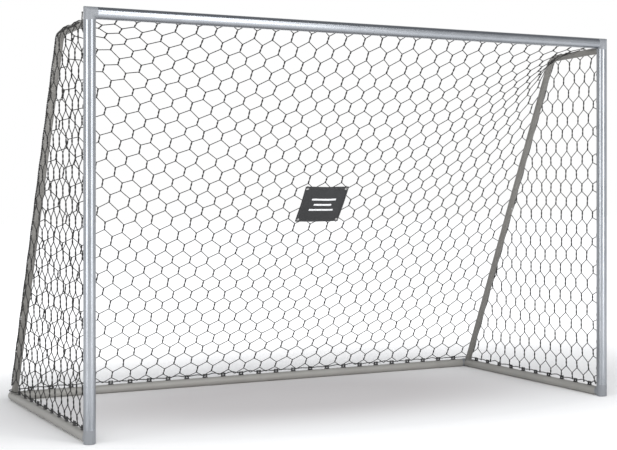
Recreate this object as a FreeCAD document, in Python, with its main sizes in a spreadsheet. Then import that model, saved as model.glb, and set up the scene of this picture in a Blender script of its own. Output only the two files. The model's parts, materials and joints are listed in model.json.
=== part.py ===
import FreeCAD, Part
import math
import os
import Sketcher

# Soccer goal frame, millimetres. The goal line runs along X, the net runs back along +Y, +Z is up.
# The origin is on the ground, in the middle of the goal's footprint.
SIZES = [
    ("frame_height", 2000),        # ground to the top of the crossbar
    ("mouth_width", 2970),         # between the axes of the two posts
    ("base_depth", 1356),          # from the posts' axes to the rear bar's axis
    ("post_radius", 28.5),
    ("post_wall", 2),
    ("bar_radius", 24),            # base bars, which lie on the ground
    ("bar_wall", 2),
    ("stay_radius", 18),           # bent tubes that hold the net out at each side
    ("stay_wall", 1.5),
    ("stay_height", 1936),         # axis of the stay where it leaves the post
    ("stay_reach", 452),           # from the post's axis back to the corner of the bend
    ("stay_fall", 1.6),            # degrees that the top run falls towards the back
    ("stay_lean", 24.9),           # degrees that the rear run leans from vertical
    ("stay_bend", 75),             # radius of the bend's centre line
    ("seam_gap", 0.8),             # line left between two tubes that butt on a sleeve
    ("fit_gap", 0.15),             # radial gap of plastic and sleeves inside tubes
    ("corner_reach", 62),          # top corner, from its outer faces to where the tubes begin
    ("foot_height", 64),
    ("spigot_length", 80),
    ("spigot_wall", 5),
    ("sleeve_length", 220),
    ("seam_screw_step", 75),       # screws either side of a seam
    ("collar_length", 8),
    ("foot_rounding", 4),
    ("cap_rounding", 6.5),
    ("screw_head", 4.5),           # radius, as are the other heads and shanks
    ("screw_shank", 2.2),
    ("screw_length", 7),
    ("rear_screw_head", 5.5),
    ("rear_screw_shank", 2.6),
    ("rear_screw_length", 9),
    ("saddle_spigot", 60),         # spigot of the saddle inside the stay
    ("saddle_bolt_head", 9),
    ("saddle_bolt_radius", 4),
    ("saddle_bolt_length", 90),
    ("socket_depth", 20),          # of the stay's lower socket, below and above the stay's foot
    ("strap_thickness", 2.5),      # strap of that socket, over the side bar
    ("strap_length", 75),
    ("strap_width", 30),
    ("stay_end_lift", 18),         # lower stay's end above the side bar's top, along the stay
    ("stay_shoulder", 12),         # solid ring between the lower stay's tube and its swaged neck
    ("button_radius", 4.5),
    ("button_hole", 4.6),
    ("button_rise", 60),           # snap button above the seam of the stay
    ("button_stand", 3.5),         # button's face above the stay's skin
    ("button_rounding", 2.5),
    ("button_flange_inside", 11.2),
    ("button_flange_outside", 12.6),
    ("leaf_thickness", 0.8),
    ("leaf_width", 9),
    ("leaf_length", 45),           # from the fold up to the button
    ("leaf_tail", 8),              # and past the button
    ("clip_length", 26),           # clips on the bars that lie on the ground
    ("clip_height", 21),
    ("clip_thickness", 7),
    ("hook_length", 12),           # smaller clips on the posts and the crossbar
    ("hook_height", 16),
    ("hook_thickness", 5),
    ("side_clips", 10),
    ("rear_clips", 25),
    ("post_clips", 12),
    ("crossbar_clips", 25),
    ("rope_radius", 3),
    ("rope_bend", 14),
    ("net_thickness", 2),
    ("net_inset", 30),             # side panels inside the posts and above the bars
    ("net_slack", 45),             # back net behind the straight line from crossbar to rear bar
    ("net_spread", 330),           # how fast the bend's pull dies away from the stays
    ("banner_width", 270),
    ("banner_height", 238),
    ("banner_offset", 73),         # banner's centre from the middle of the goal
    ("banner_down", 1065),         # banner's centre down the slope from the crossbar
    ("banner_back", 19),           # and behind the straight line from crossbar to rear bar
    ("banner_thickness", 1.2),
    ("eyelet_inset", 14),
    ("eyelet_hole", 5),
    ("tie_loop", 8),
    ("tie_radius", 1.2),
]

doc = FreeCAD.newDocument("soccer_goal")
sheet = doc.addObject("Spreadsheet::Sheet", "sheet")
for row, (alias, value) in enumerate(SIZES, 1):
    sheet.set(f"A{row}", alias)
    sheet.set(f"B{row}", str(value))
    sheet.setAlias(f"B{row}", alias)
doc.recompute()

V = FreeCAD.Vector
ALONG_X = FreeCAD.Rotation(V(0, 1, 0), 90)
ALONG_Y = FreeCAD.Rotation(V(1, 0, 0), -90)
UPRIGHT = FreeCAD.Rotation()
SIDES = (("left", -1), ("right", 1))
NODES = []


def size(alias):
    return float(sheet.get(alias))


# Where the main axes lie, as expressions for bound objects and as numbers for computed ones.
FRONT_Y = "(0 - (sheet.base_depth + sheet.bar_radius - sheet.post_radius) / 2)"
LEAN = "sheet.stay_lean * 1deg"
FALL = "sheet.stay_fall * 1deg"
BEND_Y = f"({FRONT_Y} + sheet.stay_reach)"
BEND_Z = f"(sheet.stay_height - sheet.stay_reach * tan({FALL}))"
SLOPE = f"(({BEND_Z} - 2 * sheet.bar_radius) / cos({LEAN}))"
front_y = -(size("base_depth") + size("bar_radius") - size("post_radius")) / 2
rear_y = front_y + size("base_depth")
side_x = size("mouth_width") / 2
lean = math.radians(size("stay_lean"))
fall = math.radians(size("stay_fall"))
LEANING = FreeCAD.Rotation(V(1, 0, 0), size("stay_lean"))
down_slope = V(0, math.sin(lean), -math.cos(lean))
bend_corner = V(0, front_y + size("stay_reach"), size("stay_height") - size("stay_reach") * math.tan(fall))
slope_length = (bend_corner.z - 2 * size("bar_radius")) / math.cos(lean)
stay_foot = bend_corner + down_slope * slope_length
stay_seam = bend_corner + down_slope * (slope_length / 2)


def keep(obj, label):
    obj.Label = label
    NODES.append(obj)
    return obj


def place(obj, spot, rotation):
    """Turns the object, and binds its place to three expressions or sets it from a vector."""
    if isinstance(spot, FreeCAD.Vector):
        obj.Placement = FreeCAD.Placement(spot, rotation)
        return obj
    obj.Placement = FreeCAD.Placement(V(), rotation)
    for axis, expression in zip("xyz", spot):
        obj.setExpression(f"Placement.Base.{axis}", expression)
    return obj


def rod(radius, length, spot, rotation):
    obj = doc.addObject("Part::Cylinder", "rod")
    obj.setExpression("Radius", radius)
    obj.setExpression("Height", length)
    return place(obj, spot, rotation)


def block(length, width, height, spot, rotation=UPRIGHT):
    obj = doc.addObject("Part::Box", "block")
    obj.setExpression("Length", length)
    obj.setExpression("Width", width)
    obj.setExpression("Height", height)
    return place(obj, spot, rotation)


def fuse(parts):
    obj = doc.addObject("Part::MultiFuse", "fuse")
    obj.Shapes = parts
    return obj


def cut(base, tools):
    obj = doc.addObject("Part::Cut", "cut")
    obj.Base = base
    obj.Tool = tools[0] if len(tools) == 1 else fuse(tools)
    return obj


def tube(radius, wall, length, spot, rotation):
    outer = rod(radius, length, spot, rotation)
    inner = rod(f"{radius} - {wall}", length, spot, rotation)
    return cut(outer, [inner])


def group(label, shapes):
    """Identical small pieces in one node, each its own solid."""
    obj = doc.addObject("Part::Feature", label)
    obj.Shape = Part.makeCompound(shapes)
    return keep(obj, label)


def post_x(side):
    return f"{side} * sheet.mouth_width / 2"


def make_posts():
    for name, side in SIDES:
        lower_length = "sheet.frame_height / 2 - sheet.foot_height - sheet.seam_gap / 2"
        upper_length = "sheet.frame_height / 2 - sheet.corner_reach - sheet.seam_gap / 2"
        lower_spot = (post_x(side), FRONT_Y, "sheet.foot_height")
        upper_spot = (post_x(side), FRONT_Y, "sheet.frame_height / 2 + sheet.seam_gap / 2")
        lower = tube("sheet.post_radius", "sheet.post_wall", lower_length, lower_spot, UPRIGHT)
        keep(lower, f"{name}_post_lower")
        upper = tube("sheet.post_radius", "sheet.post_wall", upper_length, upper_spot, UPRIGHT)
        keep(upper, f"{name}_post_upper")
        sleeve_radius = "sheet.post_radius - sheet.post_wall - sheet.fit_gap"
        sleeve_spot = (post_x(side), FRONT_Y, "(sheet.frame_height - sheet.sleeve_length) / 2")
        sleeve = tube(sleeve_radius, "sheet.post_wall", "sheet.sleeve_length", sleeve_spot, UPRIGHT)
        keep(sleeve, f"{name}_post_sleeve")


def make_crossbar():
    height = "sheet.frame_height - sheet.post_radius"
    length = "sheet.mouth_width / 2 + sheet.post_radius - sheet.corner_reach - sheet.seam_gap / 2"
    starts = {
        "left": "0 - sheet.mouth_width / 2 - sheet.post_radius + sheet.corner_reach",
        "right": "sheet.seam_gap / 2",
    }
    for name, start in starts.items():
        spot = (start, FRONT_Y, height)
        keep(tube("sheet.post_radius", "sheet.post_wall", length, spot, ALONG_X), f"crossbar_{name}")
    sleeve_radius = "sheet.post_radius - sheet.post_wall - sheet.fit_gap"
    sleeve_spot = ("0 - sheet.sleeve_length / 2", FRONT_Y, height)
    sleeve = tube(sleeve_radius, "sheet.post_wall", "sheet.sleeve_length", sleeve_spot, ALONG_X)
    keep(sleeve, "crossbar_sleeve")


def make_rear_bar():
    length = "sheet.mouth_width / 2 - sheet.bar_radius - sheet.collar_length - sheet.seam_gap / 2"
    rear = f"{FRONT_Y} + sheet.base_depth"
    starts = {
        "left": "0 - sheet.mouth_width / 2 + sheet.bar_radius + sheet.collar_length",
        "right": "sheet.seam_gap / 2",
    }
    for name, start in starts.items():
        spot = (start, rear, "sheet.bar_radius")
        keep(tube("sheet.bar_radius", "sheet.bar_wall", length, spot, ALONG_X), f"rear_bar_{name}")
    sleeve_radius = "sheet.bar_radius - sheet.bar_wall - sheet.fit_gap"
    sleeve_spot = ("0 - sheet.sleeve_length / 2", rear, "sheet.bar_radius")
    sleeve = tube(sleeve_radius, "sheet.bar_wall", "sheet.sleeve_length", sleeve_spot, ALONG_X)
    keep(sleeve, "rear_bar_sleeve")


def elbow(name, side, radius, leg):
    """Square elbow swept down the post and in along the crossbar, mitred at its corner."""
    path = doc.addObject("Part::Feature", f"{name}_path")
    corner = V(side * side_x, front_y, size("frame_height") - size("post_radius"))
    points = [corner - V(0, 0, leg), corner, corner - V(side * leg, 0, 0)]
    path.Shape = Part.makePolygon(points)
    ring = doc.addObject("Part::Circle", f"{name}_ring")
    ring.setExpression("Radius", radius)
    ring.Placement = FreeCAD.Placement(points[0], UPRIGHT)
    sweep = doc.addObject("Part::Sweep", f"{name}_sweep")
    sweep.Sections = [ring]
    sweep.Spine = (path, ["Edge1", "Edge2"])
    sweep.Solid = True
    sweep.Transition = "Right corner"
    return sweep


def make_top_corners():
    skirt = size("corner_reach") - size("post_radius")
    spigot = skirt + size("spigot_length")
    spigot_radius = "sheet.post_radius - sheet.post_wall - sheet.fit_gap"
    for name, side in SIDES:
        shell = elbow(f"{name}_shell", side, "sheet.post_radius", skirt)
        core = elbow(f"{name}_core", side, spigot_radius, spigot)
        bore = elbow(f"{name}_bore", side, f"{spigot_radius} - sheet.spigot_wall", spigot)
        keep(cut(fuse([shell, core]), [bore]), f"{name}_top_corner")


def make_feet():
    for name, side in SIDES:
        spot = (post_x(side), FRONT_Y, "0")
        body = rod("sheet.post_radius", "sheet.foot_height", spot, UPRIGHT)
        rounded = doc.addObject("Part::Fillet", f"{name}_foot_fillet")
        rounded.Base = body
        doc.recompute()
        rim = [n for n, edge in enumerate(body.Shape.Edges, 1) if edge.BoundBox.ZMax < 1]
        rounded.Edges = [(n, size("foot_rounding"), size("foot_rounding")) for n in rim]
        spigot_radius = "sheet.post_radius - sheet.post_wall - sheet.fit_gap"
        top = (post_x(side), FRONT_Y, "sheet.foot_height")
        bore = rod(f"{spigot_radius} - sheet.spigot_wall", "sheet.spigot_length", top, UPRIGHT)
        lifted = (post_x(side), FRONT_Y, "sheet.bar_radius")
        spigot_length = "sheet.foot_height + sheet.spigot_length - sheet.bar_radius"
        spigot = rod(spigot_radius, spigot_length, lifted, UPRIGHT)
        collar = rod("sheet.bar_radius", "sheet.post_radius + sheet.collar_length", lifted, ALONG_Y)
        tongue_radius = "sheet.bar_radius - sheet.bar_wall - sheet.fit_gap"
        tongue_length = "sheet.post_radius + sheet.collar_length + sheet.spigot_length"
        tongue = rod(tongue_radius, tongue_length, lifted, ALONG_Y)
        hollow_start = f"{FRONT_Y} + sheet.post_radius + sheet.collar_length"
        hollow_spot = (post_x(side), hollow_start, "sheet.bar_radius")
        hollow = rod(f"{tongue_radius} - sheet.spigot_wall", "sheet.spigot_length", hollow_spot, ALONG_Y)
        keep(cut(fuse([rounded, spigot, collar, tongue]), [bore, hollow]), f"{name}_foot")


def make_side_bars():
    for name, side in SIDES:
        start = f"{FRONT_Y} + sheet.post_radius + sheet.collar_length"
        length = "sheet.base_depth + sheet.bar_radius - sheet.post_radius - 2 * sheet.collar_length"
        spot = (post_x(side), start, "sheet.bar_radius")
        keep(tube("sheet.bar_radius", "sheet.bar_wall", length, spot, ALONG_Y), f"{name}_side_bar")
        end = f"{FRONT_Y} + sheet.base_depth + sheet.bar_radius - sheet.collar_length"
        disc_spot = (post_x(side), end, "sheet.bar_radius")
        disc = rod("sheet.bar_radius", "sheet.collar_length", disc_spot, ALONG_Y)
        dome = doc.addObject("Part::Fillet", f"{name}_cap_fillet")
        dome.Base = disc
        doc.recompute()
        outer = [n for n, edge in enumerate(disc.Shape.Edges, 1)
                 if edge.BoundBox.YMin > disc.Shape.BoundBox.YMax - 1]
        dome.Edges = [(n, size("cap_rounding"), size("cap_rounding")) for n in outer]
        plug_radius = "sheet.bar_radius - sheet.bar_wall - sheet.fit_gap"
        plug_spot = (post_x(side), f"{end} - sheet.spigot_length / 3", "sheet.bar_radius")
        plug = rod(plug_radius, "sheet.spigot_length / 3 + sheet.collar_length / 2", plug_spot, ALONG_Y)
        keep(fuse([dome, plug]), f"{name}_end_cap")


def make_rear_sockets():
    """Plastic pieces that join the rear bar to the inner face of each side bar."""
    rear = f"{FRONT_Y} + sheet.base_depth"
    lip = "sheet.bar_radius + sheet.collar_length"
    tongue_radius = "sheet.bar_radius - sheet.bar_wall - sheet.fit_gap"
    for name, side in SIDES:
        start = post_x(side) if side < 0 else f"{post_x(side)} - ({lip})"
        collar = rod("sheet.bar_radius", lip, (start, rear, "sheet.bar_radius"), ALONG_X)
        reach = f"{lip} + sheet.spigot_length"
        tongue_start = post_x(side) if side < 0 else f"{post_x(side)} - ({reach})"
        tongue = rod(tongue_radius, reach, (tongue_start, rear, "sheet.bar_radius"), ALONG_X)
        shank_spot = (post_x(side), f"{rear} - 2 * sheet.bar_radius", "sheet.bar_radius")
        side_bar = rod("sheet.bar_radius", "4 * sheet.bar_radius", shank_spot, ALONG_Y)
        keep(cut(fuse([collar, tongue]), [side_bar]), f"{name}_rear_socket")


def stay_path(name, side):
    """Upper stay's centre line: top run, bend and the rear run down to the seam."""
    sketch = doc.addObject("Sketcher::SketchObject", f"{name}_stay_path")
    upright_plane = FreeCAD.Rotation(V(0, 1, 0), V(0, 0, 1), V(1, 0, 0))
    sketch.Placement = FreeCAD.Placement(V(side * side_x, 0, 0), upright_plane)
    turn = math.pi / 2 - lean - fall
    tangent = size("stay_bend") * math.tan(turn / 2)
    back = V(0, math.cos(fall), -math.sin(fall))
    start = V(0, front_y + size("post_radius") + size("collar_length"), 0)
    start.z = bend_corner.z + (bend_corner.y - start.y) * math.tan(fall)
    first = bend_corner - back * tangent
    last = bend_corner + down_slope * tangent
    centre = first - V(0, math.sin(fall), math.cos(fall)) * size("stay_bend")

    def flat(point):
        return V(point.y, point.z, 0)

    end = stay_seam - down_slope * (size("seam_gap") / 2)
    sketch.addGeometry(Part.LineSegment(flat(start), flat(first)))
    circle = Part.Circle(flat(centre), V(0, 0, 1), size("stay_bend"))
    sketch.addGeometry(Part.ArcOfCircle(circle, lean, math.pi / 2 - fall))
    sketch.addGeometry(Part.LineSegment(flat(last), flat(end)))
    constraints = [
        Sketcher.Constraint("Tangent", 0, 2, 1, 2),
        Sketcher.Constraint("Tangent", 1, 1, 2, 1),
        Sketcher.Constraint("Radius", 1, size("stay_bend")),
        Sketcher.Constraint("DistanceX", -1, 1, 0, 1, start.y),
        Sketcher.Constraint("DistanceY", -1, 1, 0, 1, start.z),
        Sketcher.Constraint("DistanceX", -1, 1, 2, 2, end.y),
        Sketcher.Constraint("DistanceY", -1, 1, 2, 2, end.z),
        Sketcher.Constraint("Angle", 0, -fall),
        Sketcher.Constraint("Angle", 2, lean - math.pi / 2),
    ]
    for constraint in constraints:
        sketch.addConstraint(constraint)
    saddle = "(sheet.post_radius + sheet.collar_length)"
    bound = {
        2: "sheet.stay_bend",
        3: f"{FRONT_Y} + {saddle}",
        4: f"sheet.stay_height - {saddle} * tan({FALL})",
        5: f"{BEND_Y} + ({SLOPE} - sheet.seam_gap) / 2 * sin({LEAN})",
        6: f"{BEND_Z} - ({SLOPE} - sheet.seam_gap) / 2 * cos({LEAN})",
        7: f"0deg - {FALL}",
        8: f"{LEAN} - 90deg",
    }
    for number, expression in bound.items():
        sketch.setExpression(f"Constraints[{number}]", expression)
    return sketch, start


def swept(name, sketch, radius, start, side):
    ring = doc.addObject("Part::Circle", f"{name}_ring")
    ring.setExpression("Radius", radius)
    spin = FreeCAD.Rotation(V(1, 0, 0), -90 - size("stay_fall"))
    ring.Placement = FreeCAD.Placement(start + V(side * side_x, 0, 0), spin)
    sweep = doc.addObject("Part::Sweep", f"{name}_sweep")
    sweep.Sections = [ring]
    sweep.Spine = (sketch, ["Edge1", "Edge2", "Edge3"])
    sweep.Solid = True
    sweep.Frenet = False
    return sweep


def at_seam(side, along, front=0.0, across=0.0):
    """A point near the stay's seam: along the tube upwards, towards the front, and across."""
    to_front = V(0, -math.cos(lean), -math.sin(lean))
    return stay_seam + V(side * side_x + across, 0, 0) - down_slope * along + to_front * front


FACING_FRONT = LEANING.multiply(FreeCAD.Rotation(V(1, 0, 0), 90))


def make_stays():
    neck_radius = "sheet.stay_radius - sheet.stay_wall - sheet.fit_gap"
    neck_length = "1.5 * sheet.spigot_length"
    for name, side in SIDES:
        sketch, start = stay_path(name, side)
        skin = swept(f"{name}_stay_skin", sketch, "sheet.stay_radius", start, side)
        bore = swept(f"{name}_stay_bore", sketch, "sheet.stay_radius - sheet.stay_wall", start, side)
        button_seat = at_seam(side, size("button_rise"))
        window = rod("sheet.button_hole", "1.5 * sheet.stay_radius", button_seat, FACING_FRONT)
        keep(cut(skin, [bore, window]), f"{name}_stay_upper")

        low = stay_foot + V(side * side_x, 0, 0) - down_slope * size("stay_end_lift")
        run = f"({SLOPE} / 2 - sheet.stay_end_lift - sheet.seam_gap / 2)"
        pipe = rod("sheet.stay_radius", run, low, LEANING)
        rooted = size("stay_shoulder") - 2
        neck = rod(neck_radius, f"{neck_length} + {rooted}", at_seam(side, -rooted), LEANING)
        hollow = rod("sheet.stay_radius - sheet.stay_wall", f"{run} - sheet.stay_shoulder", low, LEANING)
        throat = rod(f"{neck_radius} - sheet.stay_wall", f"{run} + {neck_length}", low, LEANING)
        window = rod("sheet.button_hole", "1.5 * sheet.stay_radius", button_seat, FACING_FRONT)
        keep(cut(fuse([pipe, neck]), [hollow, throat, window]), f"{name}_stay_lower")


def make_snap_buttons():
    """A button in each stay, pushed out through both tubes by a folded leaf spring."""
    head = size("stay_radius") + size("button_stand")
    inside = size("button_flange_inside")
    stem_length = "sheet.stay_radius + sheet.button_stand - sheet.button_flange_inside"
    flange_length = "sheet.button_flange_outside - sheet.button_flange_inside"
    rounding = size("button_rounding")
    outer = inside - 0.1
    leaf = size("leaf_thickness")
    width = size("leaf_width")
    height = "sheet.leaf_length + sheet.leaf_tail"
    low = size("button_rise") - size("leaf_length")
    for name, side in SIDES:
        stem_spot = at_seam(side, size("button_rise"), inside)
        stem = rod("sheet.button_radius", stem_length, stem_spot, FACING_FRONT)
        dome = doc.addObject("Part::Fillet", f"{name}_button_dome")
        dome.Base = stem
        doc.recompute()
        tip = at_seam(side, size("button_rise"), head)
        ends = [n for n, edge in enumerate(stem.Shape.Edges, 1)
                if (edge.BoundBox.Center - tip).Length < 1]
        dome.Edges = [(n, rounding, rounding) for n in ends]
        flange = rod("1.4 * sheet.button_radius", flange_length, stem_spot, FACING_FRONT)
        keep(fuse([dome, flange]), f"{name}_snap_button")

        slab_spot = at_seam(side, low, outer, -width / 2)
        slab = block("sheet.leaf_width", str(2 * outer), height, slab_spot, LEANING)
        turn = FreeCAD.Rotation(V(0, 1, 0), 90)
        fold_spot = at_seam(side, low, 0, -width / 2)
        fold = rod(str(outer), "sheet.leaf_width", fold_spot, turn)
        gap_spot = at_seam(side, low, outer - leaf, -width / 2)
        gap = block("sheet.leaf_width", str(2 * (outer - leaf)), height, gap_spot, LEANING)
        eye = rod(str(outer - leaf), "sheet.leaf_width", fold_spot, turn)
        keep(cut(fuse([slab, fold]), [gap, eye]), f"{name}_button_spring")


def saddle_top(side):
    """Where the line of the stay's top run meets the post's axis."""
    return V(side * side_x, front_y, size("stay_height"))


def make_stay_ends():
    """Saddles that seat the stays on the posts, and sockets that seat them on the side bars."""
    spigot_radius = "sheet.stay_radius - sheet.stay_wall - sheet.fit_gap"
    seat = "sheet.post_radius + sheet.collar_length"
    tilt = FreeCAD.Rotation(V(1, 0, 0), -90 - size("stay_fall"))
    for name, side in SIDES:
        spot = saddle_top(side)
        lip = rod("sheet.stay_radius", f"{seat} - sheet.fit_gap", spot, tilt)
        spigot = rod(spigot_radius, f"{seat} + sheet.saddle_spigot", spot, tilt)
        post = rod("sheet.post_radius", "sheet.frame_height", (post_x(side), FRONT_Y, "0"), UPRIGHT)
        bolt_hole = rod("sheet.saddle_bolt_radius + 0.1", "2 * sheet.saddle_bolt_length", spot, tilt)
        keep(cut(fuse([lip, spigot]), [post, bolt_hole]), f"{name}_stay_saddle")

        base = stay_foot + V(side * side_x, 0, 0) + down_slope * size("socket_depth")
        cup_length = "sheet.socket_depth + sheet.stay_end_lift - sheet.fit_gap"
        cup = rod("sheet.stay_radius + 2", cup_length, base, LEANING)
        strap_start = V(side * side_x, stay_foot.y - size("strap_length"), size("bar_radius"))
        band = rod("sheet.bar_radius + sheet.strap_thickness", "sheet.strap_length", strap_start, ALONG_Y)
        corner = strap_start - V(size("strap_width") / 2, 0, 0)
        window = block("sheet.strap_width", "sheet.strap_length", "2.5 * sheet.bar_radius", corner)
        strap = doc.addObject("Part::MultiCommon", f"{name}_strap")
        strap.Shapes = [band, window]
        peg = rod(spigot_radius, "sheet.socket_depth + sheet.strap_length", base, LEANING)
        bar_spot = (post_x(side), FRONT_Y, "sheet.bar_radius")
        side_bar = rod("sheet.bar_radius", "1.2 * sheet.base_depth", bar_spot, ALONG_Y)
        rear_spot = (f"{post_x(side)} - 100", f"{FRONT_Y} + sheet.base_depth", "sheet.bar_radius")
        rear_bar = rod("sheet.bar_radius", "200", rear_spot, ALONG_X)
        keep(cut(fuse([cup, peg, strap]), [side_bar, rear_bar]), f"{name}_stay_socket")


def screw(point, outward, head_radius, shank_radius, shank_length):
    """Domed screw whose head sits at the point and whose shank runs in from it."""
    head = Part.makeSphere(head_radius, V(), V(0, 0, 1), 0, 90, 360)
    flat = FreeCAD.Matrix()
    flat.scale(1, 1, 0.5)
    head = head.transformGeometry(flat)
    shank = Part.makeCylinder(shank_radius, shank_length, V(0, 0, -shank_length), V(0, 0, 1))
    body = head.fuse(shank)
    body.Placement = FreeCAD.Placement(point, FreeCAD.Rotation(V(0, 0, 1), outward))
    return body


def make_fasteners():
    backward = V(0, 1, 0)
    up = V(0, 0, 1)
    post_back = front_y + size("post_radius")
    bar_top = 2 * size("bar_radius")
    collar = size("collar_length")
    seam_step = size("seam_screw_step")
    crossbar_z = size("frame_height") - size("post_radius")
    small = (size("screw_head"), size("screw_shank"), size("screw_length"))
    large = (size("rear_screw_head"), size("rear_screw_shank"), size("rear_screw_length"))
    bolt = (size("saddle_bolt_head"), size("saddle_bolt_radius"), size("saddle_bolt_length"))
    labels = ("seam_screws", "corner_screws", "foot_screws", "rear_screws", "saddle_bolts")
    groups = {label: [] for label in labels}
    in_spigot = size("spigot_length") / 2
    for _, side in SIDES:
        x = side * side_x
        for step in (-seam_step, seam_step):
            beside_seam = V(x, post_back, size("frame_height") / 2 + step)
            groups["seam_screws"].append(screw(beside_seam, backward, *small))
        under_corner = size("frame_height") - size("corner_reach") - 1.5 * in_spigot
        beside_corner = x - side * (size("corner_reach") + 0.75 * in_spigot - size("post_radius"))
        groups["corner_screws"].append(screw(V(x, post_back, under_corner), backward, *small))
        groups["corner_screws"].append(screw(V(beside_corner, post_back, crossbar_z), backward, *small))
        above_foot = V(x, post_back, size("foot_height") + in_spigot)
        groups["foot_screws"].append(screw(above_foot, backward, *small))
        groups["foot_screws"].append(screw(V(x, post_back + collar + in_spigot, bar_top), up, *small))
        groups["rear_screws"].append(screw(V(x - side * 1.5 * in_spigot, rear_y, bar_top), up, *large))
        strap_spot = V(x, stay_foot.y - 0.73 * size("strap_length"), bar_top + size("strap_thickness"))
        groups["rear_screws"].append(screw(strap_spot, up, *large))
        along = V(0, math.cos(fall), -math.sin(fall))
        reach = size("post_radius") + collar + size("saddle_spigot")
        groups["saddle_bolts"].append(screw(saddle_top(side) + along * reach, along, *bolt))
    for step in (-seam_step, seam_step):
        groups["seam_screws"].append(screw(V(step, post_back, crossbar_z), backward, *small))
        groups["seam_screws"].append(screw(V(step, rear_y, bar_top), up, *small))
    for label, screws in groups.items():
        group(label, screws)


def clip(point, along, outward, kind="clip"):
    """Net clip: a square ring on a foot, its hole facing across the tube that it stands on."""
    length = size(f"{kind}_length")
    height = size(f"{kind}_height")
    thick = size(f"{kind}_thickness")
    foot_height = 3
    sunk = 1.2                     # the foot's underside is cut to the tube's round
    frame = Part.makeBox(length, thick, height, V(-length / 2, -thick / 2, 0))
    window = Part.makeBox(length / 2, thick, height / 2, V(-length / 4, -thick / 2, 2 * foot_height))
    foot = Part.makeBox(length + 4, 2 * thick, foot_height, V(-length / 2 - 2, -thick, -sunk))
    body = frame.cut(window).fuse(foot).removeSplitter()
    turn = FreeCAD.Rotation(along, outward.cross(along) * -1, outward, "XZY")
    body.Placement = FreeCAD.Placement(point, turn)
    return body


def spread(count, low, high):
    step = (high - low) / (count - 1)
    return [low + step * n for n in range(count)]


def make_clips():
    up = V(0, 0, 1)
    backward = V(0, 1, 0)
    across = V(1, 0, 0)
    bar_top = 2 * size("bar_radius")
    side_rod = Part.makeCylinder(size("bar_radius"), 1.2 * size("base_depth"), V(), backward)
    rear_rod = Part.makeCylinder(size("bar_radius"), 1.2 * size("mouth_width"), V(), across)
    for name, side in SIDES:
        x = side * side_x
        row = [clip(V(x, y, bar_top), backward, up)
               for y in spread(int(size("side_clips")), front_y + 105, rear_y - 125)]
        bar = side_rod.translated(V(x, front_y - 100, size("bar_radius")))
        group(f"{name}_net_clips", [piece.cut(bar) for piece in row])
    row = [clip(V(x, rear_y, bar_top), across, up)
           for x in spread(int(size("rear_clips")), 95 - side_x, side_x - 95)]
    bar = rear_rod.translated(V(-1.1 * side_x, rear_y, size("bar_radius")))
    group("rear_net_clips", [piece.cut(bar) for piece in row])

    post_back = front_y + size("post_radius")
    post_rod = Part.makeCylinder(size("post_radius"), size("frame_height"))
    bar_rod = Part.makeCylinder(size("post_radius"), size("mouth_width"), V(), across)
    crossbar_z = size("frame_height") - size("post_radius")
    for name, side in SIDES:
        x = side * side_x
        row = [clip(V(x, post_back, z), up, backward, "hook")
               for z in spread(int(size("post_clips")), 150, 1800)]
        post = post_rod.translated(V(x, front_y, 0))
        group(f"{name}_post_clips", [piece.cut(post) for piece in row])
    row = [clip(V(x, post_back, crossbar_z), across, backward, "hook")
           for x in spread(int(size("crossbar_clips")), 135 - side_x, side_x - 135)]
    bar = bar_rod.translated(V(-side_x, front_y, crossbar_z))
    group("crossbar_clips", [piece.cut(bar) for piece in row])


def rounded_path(points, radius):
    """Straight runs joined by tangent arcs of one radius."""
    edges = []
    last = points[0]
    for before, corner, after in zip(points, points[1:], points[2:]):
        into = (corner - before).normalize()
        out = (after - corner).normalize()
        half = into.getAngle(out) / 2
        trim = radius * math.tan(half)
        start = corner - into * trim
        end = corner + out * trim
        inward = (out - into).normalize()
        middle = corner + inward * (radius / math.cos(half) - radius)
        edges.append(Part.LineSegment(last, start).toShape())
        edges.append(Part.Arc(start, middle, end).toShape())
        last = end
    edges.append(Part.LineSegment(last, points[-1]).toShape())
    return Part.Wire(edges)


def rope(label, points, radius):
    path = rounded_path(points, radius)
    start = points[0]
    direction = points[1] - points[0]
    ring = Part.Wire(Part.makeCircle(size("rope_radius"), start, direction))
    solid = path.makePipeShell([ring], True, False)
    obj = doc.addObject("Part::Feature", label)
    obj.Shape = solid
    keep(obj, label)
    expected = math.pi * size("rope_radius") ** 2 * path.Length
    print(label, "volume over section times length:", round(solid.Volume / expected, 4))


def make_ropes():
    """Border ropes of the net: round the base, and up the posts and along the crossbar."""
    beside = size("clip_thickness") / 2 + size("rope_radius") + 0.4
    base_z = 2 * size("bar_radius") + 11
    low = front_y + size("post_radius") + 12
    x = side_x + beside
    back = rear_y + beside
    wide = side_x + size("stay_radius") + size("rope_radius") + 3.5
    half = [V(x, low, base_z), V(x, stay_foot.y - 90, base_z), V(wide, stay_foot.y - 35, base_z),
            V(wide, back - 22, base_z), V(wide - 22, back, base_z)]
    mirrored = [V(-point.x, point.y, point.z) for point in half]
    rope("base_rope", mirrored + half[::-1], size("rope_bend"))
    top_y = front_y + size("post_radius") + 11
    top_x = side_x + beside
    top_z = size("frame_height") - size("post_radius") + beside
    wide = side_x + size("stay_radius") + size("rope_radius") + 0.8
    half = [V(top_x, top_y, base_z + 20), V(top_x, top_y, size("stay_height") - 75),
            V(wide, top_y, size("stay_height") - 35), V(wide, top_y, top_z)]
    mirrored = [V(-point.x, point.y, point.z) for point in half]
    rope("mouth_rope", mirrored + half[::-1], size("rope_bend"))


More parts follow.
